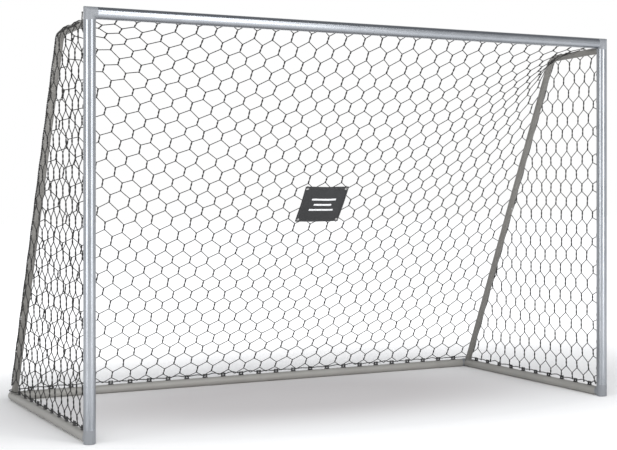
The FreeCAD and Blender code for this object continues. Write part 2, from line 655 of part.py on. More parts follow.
def make_side_nets():
    """Flat panels in the opening between post, stay and side bar, clear of them."""
    clear = "(sheet.stay_radius + sheet.net_inset / 2)"
    front = f"{FRONT_Y} + sheet.post_radius + sheet.net_inset"
    base = "(2 * sheet.bar_radius + sheet.net_inset)"
    top = f"({BEND_Z} - {clear})"
    behind = f"{BEND_Y} - {clear} / cos({LEAN})"
    slope_top = f"{behind} + {clear} * tan({LEAN})"
    slope_base = f"{behind} + ({BEND_Z} - {base}) * tan({LEAN})"
    outline = [(front, base), (front, top), (slope_top, top), (slope_base, base)]
    rough = [(-600, 80), (-600, 1890), (-250, 1890), (580, 80)]
    for name, side in SIDES:
        body = doc.addObject("PartDesign::Body", f"{name}_net_body")
        plane = [feature for feature in body.Origin.OriginFeatures if feature.Role == "YZ_Plane"][0]
        sketch = body.newObject("Sketcher::SketchObject", f"{name}_net_outline")
        sketch.AttachmentSupport = [(plane, "")]
        sketch.MapMode = "FlatFace"
        for n, corner in enumerate(rough):
            sketch.addGeometry(Part.LineSegment(V(*corner, 0), V(*rough[(n + 1) % 4], 0)))
        for n in range(4):
            sketch.addConstraint(Sketcher.Constraint("Coincident", n, 2, (n + 1) % 4, 1))
        for n, (corner, place_of) in enumerate(zip(rough, outline)):
            for kind, start, expression in zip(("DistanceX", "DistanceY"), corner, place_of):
                number = sketch.addConstraint(Sketcher.Constraint(kind, -1, 1, n, 1, start))
                sketch.setExpression(f"Constraints[{number}]", expression)
        pad = body.newObject("PartDesign::Pad", f"{name}_net_pad")
        pad.Profile = sketch
        pad.setExpression("Length", "sheet.net_thickness")
        pad.Midplane = True
        body.setExpression("Placement.Base.x", post_x(side))
        keep(body, f"{name}_net")


def net_line():
    """Top and foot of the back net where it hangs straight, and the directions down it and backwards."""
    top = V(0, front_y + size("post_radius") + 26, size("frame_height") - 2 * size("post_radius") - 6)
    foot = V(0, rear_y - 4, 2 * size("bar_radius") + size("net_inset"))
    slope = (foot - top).normalize()
    return top, foot, slope, V(0, -slope.z, slope.y)


def net_profile(x):
    """Crossbar, bend and rear bar ends of the back net at one x. The stays pull its bend backwards."""
    top, foot, slope, backward = net_line()
    corner = bend_corner - top
    pull = math.exp((abs(x) - side_x) / size("net_spread"))
    down = corner.dot(slope) * pull + 0.2 * (foot - top).Length * (1 - pull)
    back = corner.dot(backward) * pull + size("net_slack") * (1 - pull)
    across = V(x, 0, 0)
    return top + across, top + across + slope * down + backward * back, foot + across


def net_panel(corners):
    """Thin flat panel over three or four points, drawn in a hair so that panels don't touch."""
    middle = sum(corners, V()) * (1 / len(corners))
    drawn = [corner + (middle - corner).normalize() * 0.5 for corner in corners]
    face = Part.Face(Part.makePolygon(drawn + drawn[:1]))
    backward = net_line()[3]
    return face.extrude(backward * size("net_thickness"))


def make_back_net():
    """Flat convex panels that follow the net's saddle shape from crossbar to rear bar."""
    reach = side_x - size("stay_radius") - 6
    stations = [-reach, -0.82 * reach, -0.48 * reach, 0.48 * reach, 0.82 * reach, reach]
    panels = []
    for near, far in zip(stations, stations[1:]):
        for upper in (0, 1):
            a, b = net_profile(near)[upper:upper + 2]
            d, c = net_profile(far)[upper:upper + 2]
            if near == -far:
                panels.append(net_panel([a, b, c, d]))
            elif near < 0:
                panels.append(net_panel([a, b, d]))
                panels.append(net_panel([b, c, d]))
            else:
                panels.append(net_panel([a, b, c]))
                panels.append(net_panel([a, c, d]))
    group("back_net", panels)


def make_banner():
    """Small sewn panel tied to the front of the back net, with an eyelet at each corner."""
    top, _, slope, backward = net_line()
    width = size("banner_width")
    height = size("banner_height")
    thick = size("banner_thickness")
    centre = top + slope * size("banner_down") + backward * size("banner_back")
    centre = centre + V(size("banner_offset"), 0, 0)
    turn = FreeCAD.Rotation(V(1, 0, 0), slope * -1, backward * -1, "XYZ")
    spot = FreeCAD.Placement(centre, turn)
    inset = size("eyelet_inset")
    hole = size("eyelet_hole")
    corners = [V(sx * (width / 2 - inset), sy * (height / 2 - inset), 0) for sx in (-1, 1) for sy in (-1, 1)]
    panel = block("sheet.banner_width", "sheet.banner_height", "sheet.banner_thickness", V())
    panel.setExpression("Placement.Base.x", "0 - sheet.banner_width / 2")
    panel.setExpression("Placement.Base.y", "0 - sheet.banner_height / 2")
    holes = [rod("sheet.eyelet_hole", "10", corner - V(0, 0, 5), UPRIGHT) for corner in corners]
    banner = cut(panel, holes)
    banner.Placement = spot
    keep(banner, "banner")

    eyelets = []
    ties = []
    flange = 0.6
    for corner in corners:
        ring = Part.makeCylinder(hole + 3, thick + 2 * flange, corner - V(0, 0, flange))
        barrel = Part.makeCylinder(hole - 2 * flange, 10, corner - V(0, 0, 5))
        seat = Part.makeCylinder(hole + 5, thick, corner)
        seat = seat.cut(Part.makeCylinder(hole, thick, corner))
        over_edge = V(0, math.copysign(size("tie_loop"), corner.y), 0)
        eyelets.append(ring.cut(barrel).cut(seat))
        ties.append(Part.makeTorus(size("tie_loop"), size("tie_radius"), corner + over_edge, V(1, 0, 0)))
    for label, shapes in (("banner_eyelets", eyelets), ("banner_ties", ties)):
        for shape in shapes:
            shape.Placement = spot.multiply(shape.Placement)
        group(label, shapes)


make_posts()
make_crossbar()
make_top_corners()
make_feet()
make_side_bars()
make_rear_bar()
make_rear_sockets()
make_stays()
make_snap_buttons()
make_stay_ends()
make_fasteners()
make_clips()
make_ropes()
make_side_nets()
make_back_net()
make_banner()
doc.recompute()

for obj in doc.Objects:
    if "Invalid" in obj.State or "Error" in obj.State:
        raise RuntimeError(f"{obj.Name} ({obj.Label}) failed: {obj.State}")
for node in NODES:
    if node.Shape.isNull() or not node.Shape.isValid() or not node.Shape.Solids:
        raise RuntimeError(f"{node.Label} has no valid solid")

os.makedirs("parts", exist_ok=True)
for node in NODES:
    node.Shape.exportStep(f"parts/{node.Label}.step")
print(len(NODES), "nodes written")
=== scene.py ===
import json
import math

import bpy
import numpy as np
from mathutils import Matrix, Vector


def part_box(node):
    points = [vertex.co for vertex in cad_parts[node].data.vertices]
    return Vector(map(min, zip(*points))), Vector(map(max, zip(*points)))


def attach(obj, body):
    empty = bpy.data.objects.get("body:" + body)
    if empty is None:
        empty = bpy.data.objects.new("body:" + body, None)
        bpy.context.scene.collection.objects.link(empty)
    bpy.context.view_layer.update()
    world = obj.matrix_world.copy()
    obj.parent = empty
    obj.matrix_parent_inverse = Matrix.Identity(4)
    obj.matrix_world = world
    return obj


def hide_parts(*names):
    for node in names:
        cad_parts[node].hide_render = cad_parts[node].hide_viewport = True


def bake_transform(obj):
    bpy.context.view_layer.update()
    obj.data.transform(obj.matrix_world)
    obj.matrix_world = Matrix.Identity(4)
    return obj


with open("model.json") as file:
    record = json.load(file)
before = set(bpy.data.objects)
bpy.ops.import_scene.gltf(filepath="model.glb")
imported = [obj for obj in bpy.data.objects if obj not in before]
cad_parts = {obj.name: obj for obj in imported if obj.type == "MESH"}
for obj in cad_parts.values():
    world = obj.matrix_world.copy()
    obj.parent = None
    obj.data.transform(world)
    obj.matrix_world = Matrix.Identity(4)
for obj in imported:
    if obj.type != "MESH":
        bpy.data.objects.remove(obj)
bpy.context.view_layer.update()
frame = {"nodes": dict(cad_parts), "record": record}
scene = bpy.context.scene
rng = np.random.default_rng(11)


# ---------------------------------------------------------------- sizes, in metres

def middle(node):
    low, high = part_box(node)
    return (low + high) / 2


post_low, post_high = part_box("left_post_lower")
stay_low, stay_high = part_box("left_stay_upper")
side_x = -middle("left_post_lower").x
front_y = middle("left_post_lower").y
rear_y = middle("rear_bar_left").y
post_radius = (post_high.x - post_low.x) / 2
stay_radius = (stay_high.x - stay_low.x) / 2
bar_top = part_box("left_side_bar")[1].z

STAY_HEIGHT = 1.936            # stay's axis at the post
STAY_REACH = 0.452             # from the post's axis back to the corner of the bend
STAY_BEND = 0.075
STAY_FALL = math.radians(1.6)
STAY_LEAN = math.radians(24.9)
ROPE_LIFT = 0.011              # border rope's axis above the bars
ROPE_BESIDE = 0.0069           # and beside the line of the clips
ROPE_RADIUS = 0.003
CORD_RADIUS = 0.0023           # one strand of the net
HEXES_ACROSS = 29
HEXES_DOWN = 29
HEX_WIDTH = 2 * side_x / HEXES_ACROSS
HEX_PITCH = 0.078              # row to row
LEG_SHARE = 0.45               # how much of a row's pitch its slanted legs take
STEEP_PULL = 1.67              # pull in the steep legs, against 1 in the slanted ones
CORD_WEIGHT = 0.0003           # weight of a crossing, in the same measure
CORD_SIDES = 5
ROPE_STRAND = 0.00145          # radius of one of the border rope's three strands
LAY = 0.02                     # length of one turn of a rope's strands
CURVE_STEP = 0.0035            # between samples along a border rope

rope_low_y = front_y + post_radius + 0.011
rope_top_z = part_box("mouth_rope")[1].z - ROPE_RADIUS
rope_base_z = bar_top + ROPE_LIFT


# ---------------------------------------------------------------- camera, light and floor

def make_camera():
    data = bpy.data.cameras.new("camera")
    data.sensor_width = 36
    data.lens = 76.91
    data.shift_y = -0.07
    camera = bpy.data.objects.new("camera", data)
    camera.location = (-3.3467, -6.4918, 1.1984)
    camera.rotation_euler = (math.radians(90), 0, math.radians(-27.18))
    scene.collection.objects.link(camera)
    scene.camera = camera


def softbox(name, place, target, width, height, energy):
    data = bpy.data.lights.new(name, "AREA")
    data.shape = "RECTANGLE"
    data.size = width
    data.size_y = height
    data.energy = energy
    light = bpy.data.objects.new(name, data)
    light.location = place
    aim = Vector(target) - Vector(place)
    light.rotation_euler = aim.to_track_quat("-Z", "Y").to_euler()
    light.visible_camera = False
    scene.collection.objects.link(light)


def make_studio():
    world = bpy.data.worlds.new("studio")
    world.use_nodes = True
    scene.world = world
    nodes = world.node_tree.nodes
    links = world.node_tree.links
    background = nodes["Background"]
    ramp = nodes.new("ShaderNodeValToRGB")
    split = nodes.new("ShaderNodeSeparateXYZ")
    coordinate = nodes.new("ShaderNodeTexCoord")
    links.new(coordinate.outputs["Generated"], split.inputs[0])
    links.new(split.outputs["Z"], ramp.inputs["Fac"])
    ramp.color_ramp.elements[0].position = 0.22
    ramp.color_ramp.elements[0].color = (1, 1, 1, 1)
    ramp.color_ramp.elements[1].position = 0.8
    ramp.color_ramp.elements[1].color = (0.3, 0.31, 0.33, 1)
    links.new(ramp.outputs["Color"], background.inputs["Color"])
    background.inputs["Strength"].default_value = 1.0
    softbox("front_strip", (-1.0, -5.8, 6.4), (0, -0.6, 1.9), 9, 2.2, 330)
    softbox("left_box", (-7.2, -3.0, 2.0), (-1.4, -0.6, 1.2), 2.4, 4.2, 150)
    softbox("right_box", (1.4, -6.4, 2.0), (-0.2, -0.6, 1.1), 2.2, 4.2, 130)
    scene.view_settings.view_transform = "Standard"


def make_floor():
    bpy.ops.mesh.primitive_plane_add(size=60, location=(0, 0, -0.0004))
    floor = bpy.context.object
    floor.name = "floor"
    material = bpy.data.materials.new("floor")
    material.use_nodes = True
    nodes = material.node_tree.nodes
    links = material.node_tree.links
    shader = nodes["Principled BSDF"]
    coordinate = nodes.new("ShaderNodeTexCoord")
    mapping = nodes.new("ShaderNodeMapping")
    mapping.vector_type = "TEXTURE"
    mapping.inputs["Location"].default_value = (0.0, 0.1, 0)
    mapping.inputs["Scale"].default_value = (2.3, 1.15, 1)
    length = nodes.new("ShaderNodeVectorMath")
    length.operation = "LENGTH"
    # painted shadow: the floor's colour darkens to grey in an ellipse under and round the goal, standing in
    # for the shade the goal casts on the floor
    ramp = nodes.new("ShaderNodeValToRGB")
    ramp.color_ramp.interpolation = "EASE"
    ramp.color_ramp.elements[0].position = 0.25
    ramp.color_ramp.elements[0].color = (0.62, 0.60, 0.60, 1)
    ramp.color_ramp.elements[1].position = 1.0
    ramp.color_ramp.elements[1].color = (0.97, 0.97, 0.97, 1)
    links.new(coordinate.outputs["Object"], mapping.inputs["Vector"])
    links.new(mapping.outputs["Vector"], length.inputs[0])
    links.new(length.outputs["Value"], ramp.inputs["Fac"])
    links.new(ramp.outputs["Color"], shader.inputs["Base Color"])
    shader.inputs["Roughness"].default_value = 0.9
    shader.inputs["Specular IOR Level"].default_value = 0.1
    # painted light: the floor glows by emission, more the farther it lies from the goal, so the open floor
    # reads white
    glow = nodes.new("ShaderNodeMapRange")
    glow.inputs["From Min"].default_value = 0.9
    glow.inputs["From Max"].default_value = 2.2
    glow.inputs["To Max"].default_value = 0.6
    links.new(length.outputs["Value"], glow.inputs["Value"])
    shader.inputs["Emission Color"].default_value = (1, 1, 1, 1)
    links.new(glow.outputs["Result"], shader.inputs["Emission Strength"])
    floor.data.materials.append(material)


# ---------------------------------------------------------------- materials

def surface(name, dark, light, rough, grain, depth, stretch=(1, 1, 1), metallic=0.0, patch=7.0, blend=0.5):
    """Mottled colour and roughness over patches, and fine grain that is also bump, in object space."""
    material = bpy.data.materials.new(name)
    material.use_nodes = True
    nodes = material.node_tree.nodes
    links = material.node_tree.links
    shader = nodes["Principled BSDF"]
    shader.inputs["Metallic"].default_value = metallic
    coordinate = nodes.new("ShaderNodeTexCoord")
    mapping = nodes.new("ShaderNodeMapping")
    mapping.inputs["Scale"].default_value = stretch
    links.new(coordinate.outputs["Object"], mapping.inputs["Vector"])
    patches = nodes.new("ShaderNodeTexNoise")
    patches.inputs["Scale"].default_value = patch
    patches.inputs["Detail"].default_value = 5
    links.new(coordinate.outputs["Object"], patches.inputs["Vector"])
    fine = nodes.new("ShaderNodeTexNoise")
    fine.inputs["Scale"].default_value = grain
    fine.inputs["Detail"].default_value = 3
    links.new(mapping.outputs["Vector"], fine.inputs["Vector"])
    both = nodes.new("ShaderNodeMix")
    both.inputs["Factor"].default_value = blend
    links.new(patches.outputs["Fac"], both.inputs["A"])
    links.new(fine.outputs["Fac"], both.inputs["B"])
    ramp = nodes.new("ShaderNodeValToRGB")
    ramp.color_ramp.elements[0].position = 0.35
    ramp.color_ramp.elements[0].color = (*dark, 1)
    ramp.color_ramp.elements[1].position = 0.65
    ramp.color_ramp.elements[1].color = (*light, 1)
    links.new(both.outputs["Result"], ramp.inputs["Fac"])
    links.new(ramp.outputs["Color"], shader.inputs["Base Color"])
    shine = nodes.new("ShaderNodeMapRange")
    shine.inputs["From Min"].default_value = 0.3
    shine.inputs["From Max"].default_value = 0.7
    shine.inputs["To Min"].default_value = rough[0]
    shine.inputs["To Max"].default_value = rough[1]
    links.new(both.outputs["Result"], shine.inputs["Value"])
    links.new(shine.outputs["Result"], shader.inputs["Roughness"])
    bump = nodes.new("ShaderNodeBump")
    bump.inputs["Strength"].default_value = 1.0
    bump.inputs["Distance"].default_value = depth
    links.new(fine.outputs["Fac"], bump.inputs["Height"])
    links.new(bump.outputs["Normal"], shader.inputs["Normal"])
    return material


def anodised(name, stretch):
    """Drawn aluminium: hairlines along the tube under a clear satin film."""
    dark = (0.25, 0.265, 0.285)
    light = (0.34, 0.355, 0.38)
    return surface(name, dark, light, (0.22, 0.32), 60, 0.00002, stretch, 1.0, blend=0.7)


def woven(name, dark, light, threads):
    """Coated plain weave: two crossed sets of threads as bump."""
    material = surface(name, dark, light, (0.5, 0.7), 900, 0.00005, patch=18)
    nodes = material.node_tree.nodes
    links = material.node_tree.links
    shader = nodes["Principled BSDF"]
    shader.inputs["Sheen Weight"].default_value = 0.15
    coordinate = nodes.new("ShaderNodeTexCoord")
    waves = []
    for direction in ("X", "Z"):
        wave = nodes.new("ShaderNodeTexWave")
        wave.bands_direction = direction
        wave.inputs["Scale"].default_value = threads
        wave.inputs["Distortion"].default_value = 0.4
        links.new(coordinate.outputs["Object"], wave.inputs["Vector"])
        waves.append(wave)
    height = nodes.new("ShaderNodeMath")
    height.operation = "MAXIMUM"
    for n, wave in enumerate(waves):
        links.new(wave.outputs["Fac"], height.inputs[n])
    bump = nodes.new("ShaderNodeBump")
    bump.inputs["Distance"].default_value = 0.00015
    links.new(height.outputs["Value"], bump.inputs["Height"])
    links.new(bump.outputs["Normal"], shader.inputs["Normal"])
    return material


def make_materials():
    """Finishes by the record's slots, with a few more for pieces made here."""
    return {
        "post_tube": anodised("anodised_post", (14, 14, 0.25)),
        "crossbar_tube": anodised("anodised_crossbar", (0.25, 14, 14)),
        "sleeve_tube": surface(
            "mill_aluminium", (0.5, 0.5, 0.5), (0.62, 0.62, 0.62),
            (0.3, 0.45), 90, 0.00002, (10, 10, 1), 1.0),
        "base_tube": surface(
            "grey_powder_coat", (0.25, 0.245, 0.23), (0.29, 0.284, 0.268),
            (0.42, 0.55), 620, 0.00006, blend=0.35),
        "stay_tube": surface(
            "dark_powder_coat", (0.155, 0.15, 0.14), (0.185, 0.18, 0.168),
            (0.42, 0.55), 620, 0.00006, blend=0.35),
        "stay_plastic": surface(
            "stay_fitting", (0.15, 0.147, 0.14), (0.18, 0.176, 0.167),
            (0.5, 0.62), 420, 0.0001),
        "cap_plastic": surface(
            "bar_fitting", (0.24, 0.236, 0.225), (0.28, 0.275, 0.262),
            (0.5, 0.62), 420, 0.0001),
        "connector_plastic": surface(
            "corner_plastic", (0.17, 0.18, 0.195), (0.205, 0.215, 0.23),
            (0.4, 0.52), 420, 0.0001),
        "zinc_steel": surface(
            "zinc_steel", (0.5, 0.5, 0.48), (0.68, 0.68, 0.66),
            (0.25, 0.42), 300, 0.00003, metallic=1.0, patch=160),
        "button_steel": surface(
            "bright_steel", (0.6, 0.6, 0.6), (0.75, 0.75, 0.75),
            (0.12, 0.25), 500, 0.00001, metallic=1.0, patch=120),
        "spring_steel": surface(
            "spring_steel", (0.3, 0.3, 0.31), (0.42, 0.42, 0.44),
            (0.3, 0.45), 300, 0.00002, metallic=1.0, patch=120),
        "clip_plastic": surface(
            "clip_plastic", (0.011, 0.011, 0.012), (0.02, 0.02, 0.021),
            (0.38, 0.5), 700, 0.00006, patch=60),
        "border_rope": surface(
            "border_rope", (0.009, 0.009, 0.009), (0.022, 0.021, 0.02),
            (0.5, 0.65), 1500, 0.0002, patch=90),
        "net_cord": surface(
            "net_cord", (0.006, 0.0058, 0.0055), (0.016, 0.015, 0.014),
            (0.5, 0.7), 1800, 0.00015, patch=70),
        "banner_fabric": woven("banner_fabric", (0.012, 0.013, 0.014), (0.02, 0.021, 0.023), 260),
        "banner_print": surface(
            "banner_print", (0.72, 0.73, 0.75), (0.86, 0.87, 0.88),
            (0.45, 0.6), 900, 0.00005, patch=30),
        "banner_thread": surface(
            "banner_thread", (0.05, 0.05, 0.052), (0.09, 0.09, 0.093),
            (0.5, 0.7), 1800, 0.0001),
        "eyelet_metal": surface(
            "eyelet_metal", (0.7, 0.7, 0.68), (0.85, 0.85, 0.83),
            (0.2, 0.35), 400, 0.00002, metallic=1.0, patch=120),
        "tie_cord": surface(
            "tie_cord", (0.012, 0.012, 0.012), (0.03, 0.03, 0.03),
            (0.4, 0.6), 900, 0.0001, patch=80),
    }


def dress_frame(materials):
    for part in frame["record"]["subparts"]:
        node = part["node"]
        finish = part["material_slot"]
        if finish == "anodised_tube":
            finish = "crossbar_tube" if node.startswith("crossbar") else "post_tube"
        mesh = frame["nodes"][node].data
        mesh.materials.clear()
        mesh.materials.append(materials[finish])


# ---------------------------------------------------------------- making pieces

def piece(name, points, faces, material, slot, replaced=()):
    """Smooth-shaded object that rides on the frame and may stand for CAD nodes."""
    mesh = bpy.data.meshes.new(name)
    mesh.from_pydata(np.asarray(points).tolist(), [], [list(face) for face in faces])
    mesh.validate()
    mesh.update()
    mesh.shade_smooth()
    mesh.materials.append(material)
    obj = bpy.data.objects.new(name, mesh)
    scene.collection.objects.link(obj)
    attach(obj, "frame")
    if replaced:
        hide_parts(*replaced)
    return obj


def tubes(lines, radius, sides, reference):
    """Closed round tubes along many centre lines of equal count. reference is never along a line."""
    lines = np.asarray(lines, float)
    count, samples = lines.shape[:2]
    tangent = np.gradient(lines, axis=1)
    tangent /= np.linalg.norm(tangent, axis=2, keepdims=True) + 1e-12
    across = np.cross(tangent, reference)
    across /= np.linalg.norm(across, axis=2, keepdims=True) + 1e-12
    normal = np.cross(tangent, across)
    angle = np.arange(sides) * 2 * math.pi / sides
    ring = across[:, :, None] * np.cos(angle)[:, None] + normal[:, :, None] * np.sin(angle)[:, None]
    points = (lines[:, :, None] + radius * ring).reshape(-1, 3)
    one = []
    for s in range(samples - 1):
        for k in range(sides):
            nxt = (k + 1) % sides
            one.append((s * sides + k, s * sides + nxt, (s + 1) * sides + nxt, (s + 1) * sides + k))
    faces = []
    last = (samples - 1) * sides
    for n in range(count):
        base = n * samples * sides
        faces += [tuple(base + v for v in quad) for quad in one]
        faces.append(tuple(base + k for k in reversed(range(sides))))
        faces.append(tuple(base + last + k for k in range(sides)))
    return points, faces


def joined(*meshes):
    points = []
    faces = []
    start = 0
    for some_points, some_faces in meshes:
        points.append(np.asarray(some_points))
        faces += [tuple(start + v for v in face) for face in some_faces]
        start += len(some_points)
    return np.concatenate(points), faces


def smooth_line(points, step):
    """Catmull-Rom curve through the points, sampled about every step."""
    points = np.asarray(points, float)
    padded = np.vstack([2 * points[0] - points[1], points, 2 * points[-1] - points[-2]])
    out = []
    for before, a, b, after in zip(padded, padded[1:], padded[2:], padded[3:]):
        n = max(2, int(np.linalg.norm(b - a) / step))
        t = np.linspace(0, 1, n, endpoint=False)[:, None]
        out.append(0.5 * (2 * a + (b - before) * t + (2 * before - 5 * a + 4 * b - after) * t ** 2
                          + (3 * a - before - 3 * b + after) * t ** 3))
    out.append(points[-1:])
    return np.concatenate(out)


def twisted(line, strands, radius, lay, sides=CORD_SIDES):
    """Rope of strands laid round a line, one turn every lay."""
    step = np.linalg.norm(np.diff(line, axis=0), axis=1)
    run = np.concatenate([[0], np.cumsum(step)])
    tangent = np.gradient(line, axis=0)
    tangent /= np.linalg.norm(tangent, axis=1, keepdims=True)
    across = np.zeros_like(line)
    start = np.cross(tangent[0], (0.3, 0.5, 0.8))
    across[0] = start / np.linalg.norm(start)
    for n in range(1, len(line)):
        turned = across[n - 1] - tangent[n] * np.dot(across[n - 1], tangent[n])
        across[n] = turned / np.linalg.norm(turned)
    normal = np.cross(tangent, across)
    off = radius / math.sin(math.pi / strands) if strands > 2 else radius
    angle = np.arange(sides) * 2 * math.pi / sides
    meshes = []
    for strand in range(strands):
        phase = 2 * math.pi * (run / lay + strand / strands)[:, None]
        centre = line + off * (across * np.cos(phase) + normal * np.sin(phase))
        ring = across[:, None] * np.cos(angle)[:, None] + normal[:, None] * np.sin(angle)[:, None]
        points = (centre[:, None] + radius * ring).reshape(-1, 3)
        faces = []
        for s in range(len(line) - 1):
            for k in range(sides):
                nxt = (k + 1) % sides
                faces.append((s * sides + k, s * sides + nxt, (s + 1) * sides + nxt, (s + 1) * sides + k))
        faces.append(tuple(reversed(range(sides))))
        faces.append(tuple((len(line) - 1) * sides + k for k in range(sides)))
        meshes.append((points, faces))
    return joined(*meshes)


# ---------------------------------------------------------------- stays, as lines in the Y-Z plane

def stay_axis():
    """Axis of a stay from the post to its foot, and the direction away from the goal at each point."""
    corner = np.array([front_y + STAY_REACH, STAY_HEIGHT - STAY_REACH * math.tan(STAY_FALL)])
    turn = math.pi / 2 - STAY_LEAN - STAY_FALL
    tangent = STAY_BEND * math.tan(turn / 2)
    back = np.array([math.cos(STAY_FALL), -math.sin(STAY_FALL)])
    down = np.array([math.sin(STAY_LEAN), -math.cos(STAY_LEAN)])
    first = corner - back * tangent
    centre = first - np.array([math.sin(STAY_FALL), math.cos(STAY_FALL)]) * STAY_BEND
    angles = np.linspace(math.pi / 2 - STAY_FALL, STAY_LEAN, 9)
    outward = np.stack([np.cos(angles), np.sin(angles)], axis=1)
    bend = centre + STAY_BEND * outward
    start = corner - back * (STAY_REACH - post_radius - 0.012)
    foot = corner + down * (corner[1] - rope_base_z) / math.cos(STAY_LEAN)
    line = np.vstack([start, bend, foot])
    return line, np.vstack([outward[0], outward, outward[-1]])


AXIS, OUTWARD = stay_axis()


def along_stay(fraction, lift):
    """Points beside the stay at fractions of its length, lifted off its axis away from the goal."""
    line = AXIS + OUTWARD * lift
    run = np.concatenate([[0], np.cumsum(np.linalg.norm(np.diff(line, axis=0), axis=1))])
    wanted = np.asarray(fraction) * run[-1]
    spot = np.stack([np.interp(wanted, run, line[:, k]) for k in (0, 1)], axis=-1)
    facing = np.stack([np.interp(wanted, run, OUTWARD[:, k]) for k in (0, 1)], axis=-1)
    return spot, facing


def clear_of_stays(points, gap):
    """Pushes points out of the two stays, to the gap outside their skin."""
    points = np.array(points, float)
    flat = points.reshape(-1, 3)
    reach = stay_radius + gap
    for side in (-1, 1):
        near = np.where(np.abs(flat[:, 0] - side * side_x) < 2 * reach)[0]
        spots = flat[near]
        best = np.full(len(near), np.inf)
        closest = np.zeros((len(near), 3))
        for a, b in zip(AXIS, AXIS[1:]):
            run = b - a
            t = np.clip(((spots[:, 1:] - a) @ run) / (run @ run), 0, 1)
            foot = np.column_stack([np.full(len(near), side * side_x), a + t[:, None] * run])
            distance = np.linalg.norm(spots - foot, axis=1)
            closer = distance < best
            best[closer] = distance[closer]
            closest[closer] = foot[closer]
        inside = best < reach
        away = (spots[inside] - closest[inside]) / (best[inside][:, None] + 1e-9)
        flat[near[inside]] = closest[inside] + away * reach
    return flat.reshape(points.shape)


# ---------------------------------------------------------------- the net

def relaxed(points, legs, pull, fixed):
    """Rest shape of a slack net: each free crossing sits where its legs' pulls and its weight balance."""
    count = len(points)
    stiff = np.zeros((count, count))
    for a, b in ((0, 0), (1, 1)):
        np.add.at(stiff, (legs[:, a], legs[:, b]), pull)
    for a, b in ((0, 1), (1, 0)):
        np.add.at(stiff, (legs[:, a], legs[:, b]), -pull)
    free = ~fixed
    loads = -stiff[np.ix_(free, fixed)] @ points[fixed]
    loads[:, 2] -= CORD_WEIGHT
    points = points.copy()
    points[free] = np.linalg.solve(stiff[np.ix_(free, free)], loads)
    return points


def row_shift(i, j):
    """Crossings alternate above and below their row's line."""
    return LEG_SHARE / 2 * (1 if (i + j) % 2 else -1)


def back_lattice():
    columns = 2 * HEXES_ACROSS
    top = np.array([front_y + post_radius + 0.013, rope_top_z - 0.012])
    base = np.array([rear_y + ROPE_BESIDE, rope_base_z])
    points = []
    fixed = []
    for j in range(HEXES_DOWN + 1):
        for i in range(columns + 1):
            share = min(max((j + row_shift(i, j)) / HEXES_DOWN, 0), 1)
            spot = top + (base - top) * share
            edge = i in (0, columns)
            if edge:
                spot, _ = along_stay(share, stay_radius + CORD_RADIUS)
            hooked = (j == 0 and (i + j) % 2 == 0) or (j == HEXES_DOWN and (i + j) % 2)
            points.append((side_x * (2 * i / columns - 1), *spot))
            fixed.append(bool(edge or hooked))
    legs = []
    steep = []
    for j in range(HEXES_DOWN + 1):
        for i in range(columns + 1):
            here = j * (columns + 1) + i
            if i < columns:
                legs.append((here, here + 1))
                steep.append(False)
            if j < HEXES_DOWN and (i + j) % 2 and 0 < i < columns:
                legs.append((here, here + columns + 1))
                steep.append(True)
    return np.array(points), np.array(legs), np.array(steep), np.array(fixed)


def side_lattice(side):
    """Net at one side, cut to the opening between post, stay and side bar."""
    bounds = []
    for start, end in ((AXIS[0], AXIS[1]), (AXIS[-2], AXIS[-1])):
        run = (end - start) / np.linalg.norm(end - start)
        bounds.append((start, np.array([run[1], -run[0]])))
    bounds.append((np.array([rope_low_y, 0]), np.array([1.0, 0])))
    bounds.append((np.array([0, rope_base_z]), np.array([0, 1.0])))

    def depths(spot):
        return [float((spot - origin) @ inward) for origin, inward in bounds]

    columns = int(2 * (rear_y - rope_low_y) / HEX_WIDTH) + 4
    rows = int(2.0 / HEX_PITCH) + 2
    lattice = {}
    for j in range(rows):
        for i in range(columns):
            spot = np.array([rope_low_y - 0.03 + i * HEX_WIDTH / 2, 1.99 - (j + row_shift(i, j)) * HEX_PITCH])
            lattice[i, j] = spot
    margin = 0.012
    inside = {key for key, spot in lattice.items() if min(depths(spot)) > margin}
    index = {key: n for n, key in enumerate(sorted(inside))}
    points = [(side * (side_x + 0.004), *lattice[key]) for key in sorted(inside)]
    fixed = [False] * len(points)
    legs = []
    steep = []
    for (i, j) in sorted(lattice):
        for other, is_steep in (((i + 1, j), False), ((i, j + 1), True)):
            if other not in lattice or (is_steep and (i + j) % 2 == 0):
                continue
            ends = [key for key in ((i, j), other) if key in inside]
            if len(ends) == 2:
                legs.append((index[ends[0]], index[ends[1]]))
                steep.append(is_steep)
            elif len(ends) == 1:
                near = lattice[ends[0]]
                far = lattice[other if ends[0] == (i, j) else (i, j)]
                both_depths = enumerate(zip(depths(near), depths(far)))
                crossed = [(d0 / (d0 - d1), n) for n, (d0, d1) in both_depths if d1 < d0]
                share, edge = min(crossed)
                spot = near + (far - near) * min(share, 1.6)
                outer = stay_radius + CORD_RADIUS if edge < 2 else ROPE_BESIDE
                points.append((side * (side_x + outer), *spot))
                fixed.append(True)
                legs.append((index[ends[0]], len(points) - 1))
                steep.append(is_steep)
    return np.array(points), np.array(legs), np.array(steep), np.array(fixed)


